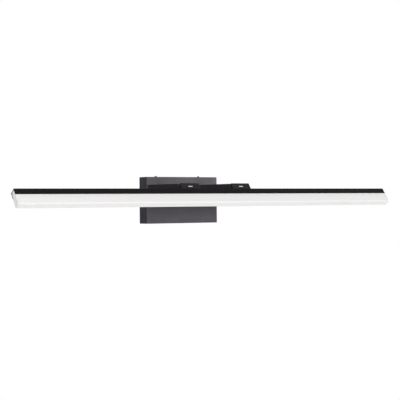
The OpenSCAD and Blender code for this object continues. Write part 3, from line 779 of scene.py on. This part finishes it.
def build_leds():
    """Sixty white packages, each with a round phosphor window."""
    count, pitch = 60, 15
    board = (-7.2, -20.8)          # middle of its lower face, in the bar's own Y and Z
    shell = bmesh.new()
    rounded_slab(shell, (-1.75 * MM, -1.4 * MM, 0), (1.75 * MM, 1.4 * MM, 0.62 * MM),
                 0.12 * MM, 2)
    body_faces = len(shell.faces)
    lathe(shell, scaled([(0, 0.7), (0.9, 0.68), (1.15, 0.6), (1.15, 0.3), (0, 0.3)]), sides=24)
    for i, face in enumerate(shell.faces):
        face.material_index = 1 if i < body_faces else 0
    bm = bmesh.new()
    for i in range(count):
        stamp(bm, shell, in_bar((i - (count - 1) / 2) * pitch, *board, (0, 0, -1)))
    shell.free()
    place("led_packages", bm, "led_phosphor", BAR, ("leds",), extra=("white_board",))


build_supply_leads()
build_ground_lead()
build_ring_terminal()
build_hinge_leads()
build_driver()
build_lever_connectors()
build_leds()


# ------------------------------------------------------------------ floor, lights, camera

def plain_floor(height, radius):
    """Pale round floor, well below the object."""
    mat, tree, bsdf = surface("pale_floor", (0.93, 0.93, 0.93), 0.7)
    at = coords(tree)
    tree.links.new(blend_colour(tree, noise(tree, at, 3), (0.92, 0.92, 0.92, 1),
                                (0.95, 0.95, 0.95, 1)), bsdf.inputs["Base Color"])
    bm = bmesh.new()
    bmesh.ops.create_circle(bm, cap_ends=True, segments=96, radius=radius)
    bmesh.ops.translate(bm, verts=bm.verts, vec=(0, 0, height))
    mesh = bpy.data.meshes.new("floor")
    bm.to_mesh(mesh)
    bm.free()
    mesh.materials.append(mat)
    ob = bpy.data.objects.new("floor", mesh)
    bpy.context.scene.collection.objects.link(ob)


def studio_world():
    """White to the camera. The light comes mostly from the front and above, and least from
    behind on the left."""
    world = bpy.data.worlds.new("studio")
    bpy.context.scene.world = world
    world.use_nodes = True
    tree = world.node_tree
    tree.nodes.clear()
    way = add(tree, "TexCoord").outputs["Generated"]
    part = add(tree, "SeparateXYZ", {0: way})
    rear = span(tree, part.outputs["X"], -0.2, 0.4, 0.04, 0.6)
    front = add(tree, "MapRange", {"Value": part.outputs["Y"], "From Min": 0.45, "From Max": -0.55,
                                   "To Min": rear, "To Max": 0.73},
                interpolation_type="SMOOTHSTEP").outputs[0]
    sky = add(tree, "MapRange", {"Value": part.outputs["Z"], "From Min": 0.4, "From Max": 0.85,
                                 "To Min": 1.0, "To Max": 1.32},
              interpolation_type="SMOOTHSTEP").outputs[0]
    glow = add(tree, "Background", {"Color": (1, 1, 1, 1),
                                    "Strength": maths(tree, "MULTIPLY", front, sky)})
    plain = add(tree, "Background", {"Color": (1, 1, 1, 1), "Strength": 1.0})
    seen = add(tree, "LightPath").outputs["Is Camera Ray"]
    mix = add(tree, "MixShader", {0: seen, 1: glow.outputs[0], 2: plain.outputs[0]})
    out = tree.nodes.new("ShaderNodeOutputWorld")
    tree.links.new(mix.outputs[0], out.inputs["Surface"])


def softbox(name, at, target, wide, high, power):
    """Large light that the camera doesn't see."""
    data = bpy.data.lights.new(name, "AREA")
    data.shape = "RECTANGLE"
    data.size = wide
    data.size_y = high
    data.energy = power
    ob = bpy.data.objects.new(name, data)
    ob.matrix_world = facing(at, Vector(at) - Vector(target))
    ob.visible_camera = False
    bpy.context.scene.collection.objects.link(ob)


def camera(at, yaw, pitch, roll, lens):
    """Camera at a place in metres, with its angles in degrees and its lens in millimetres."""
    yaw, pitch, roll = (math.radians(angle) for angle in (yaw, pitch, roll))
    level = math.cos(pitch)
    ahead = Vector((math.sin(yaw) * level, math.cos(yaw) * level, -math.sin(pitch)))
    across = Vector((math.cos(yaw), -math.sin(yaw), 0))
    up = across.cross(ahead)
    right = math.cos(roll) * across + math.sin(roll) * up
    top = -math.sin(roll) * across + math.cos(roll) * up
    data = bpy.data.cameras.new("camera")
    data.sensor_width = 36
    data.lens = lens
    data.clip_start = 0.05
    data.clip_end = 60
    ob = bpy.data.objects.new("camera", data)
    turn = Matrix((right, top, -ahead)).transposed().to_4x4()
    ob.matrix_world = Matrix.Translation(at) @ turn
    bpy.context.scene.collection.objects.link(ob)
    bpy.context.scene.camera = ob


plain_floor(height=-2.0, radius=5.0)
studio_world()
for name, at, target, wide, high, power in (
        ("front_light", (1.75, -2.1, 0.35), (0.1, 0, 0), 1.1, 0.7, 11.5),
        ("low_light", (0.2, -1.2, -1.4), (0, -0.15, 0), 1.2, 0.9, 6.0),
        ("left_light", (-2.3, -1.1, 0.1), (-0.4, -0.1, 0), 1.0, 1.0, 22)):
    softbox(name, at, target, wide, high, power)
# Fitted to the straight edges of the object in the photograph
camera((-1.34245, -2.16842, -0.01198), yaw=33.002, pitch=-0.268, roll=-0.542, lens=104.166)
bpy.context.scene.view_settings.view_transform = "Standard"
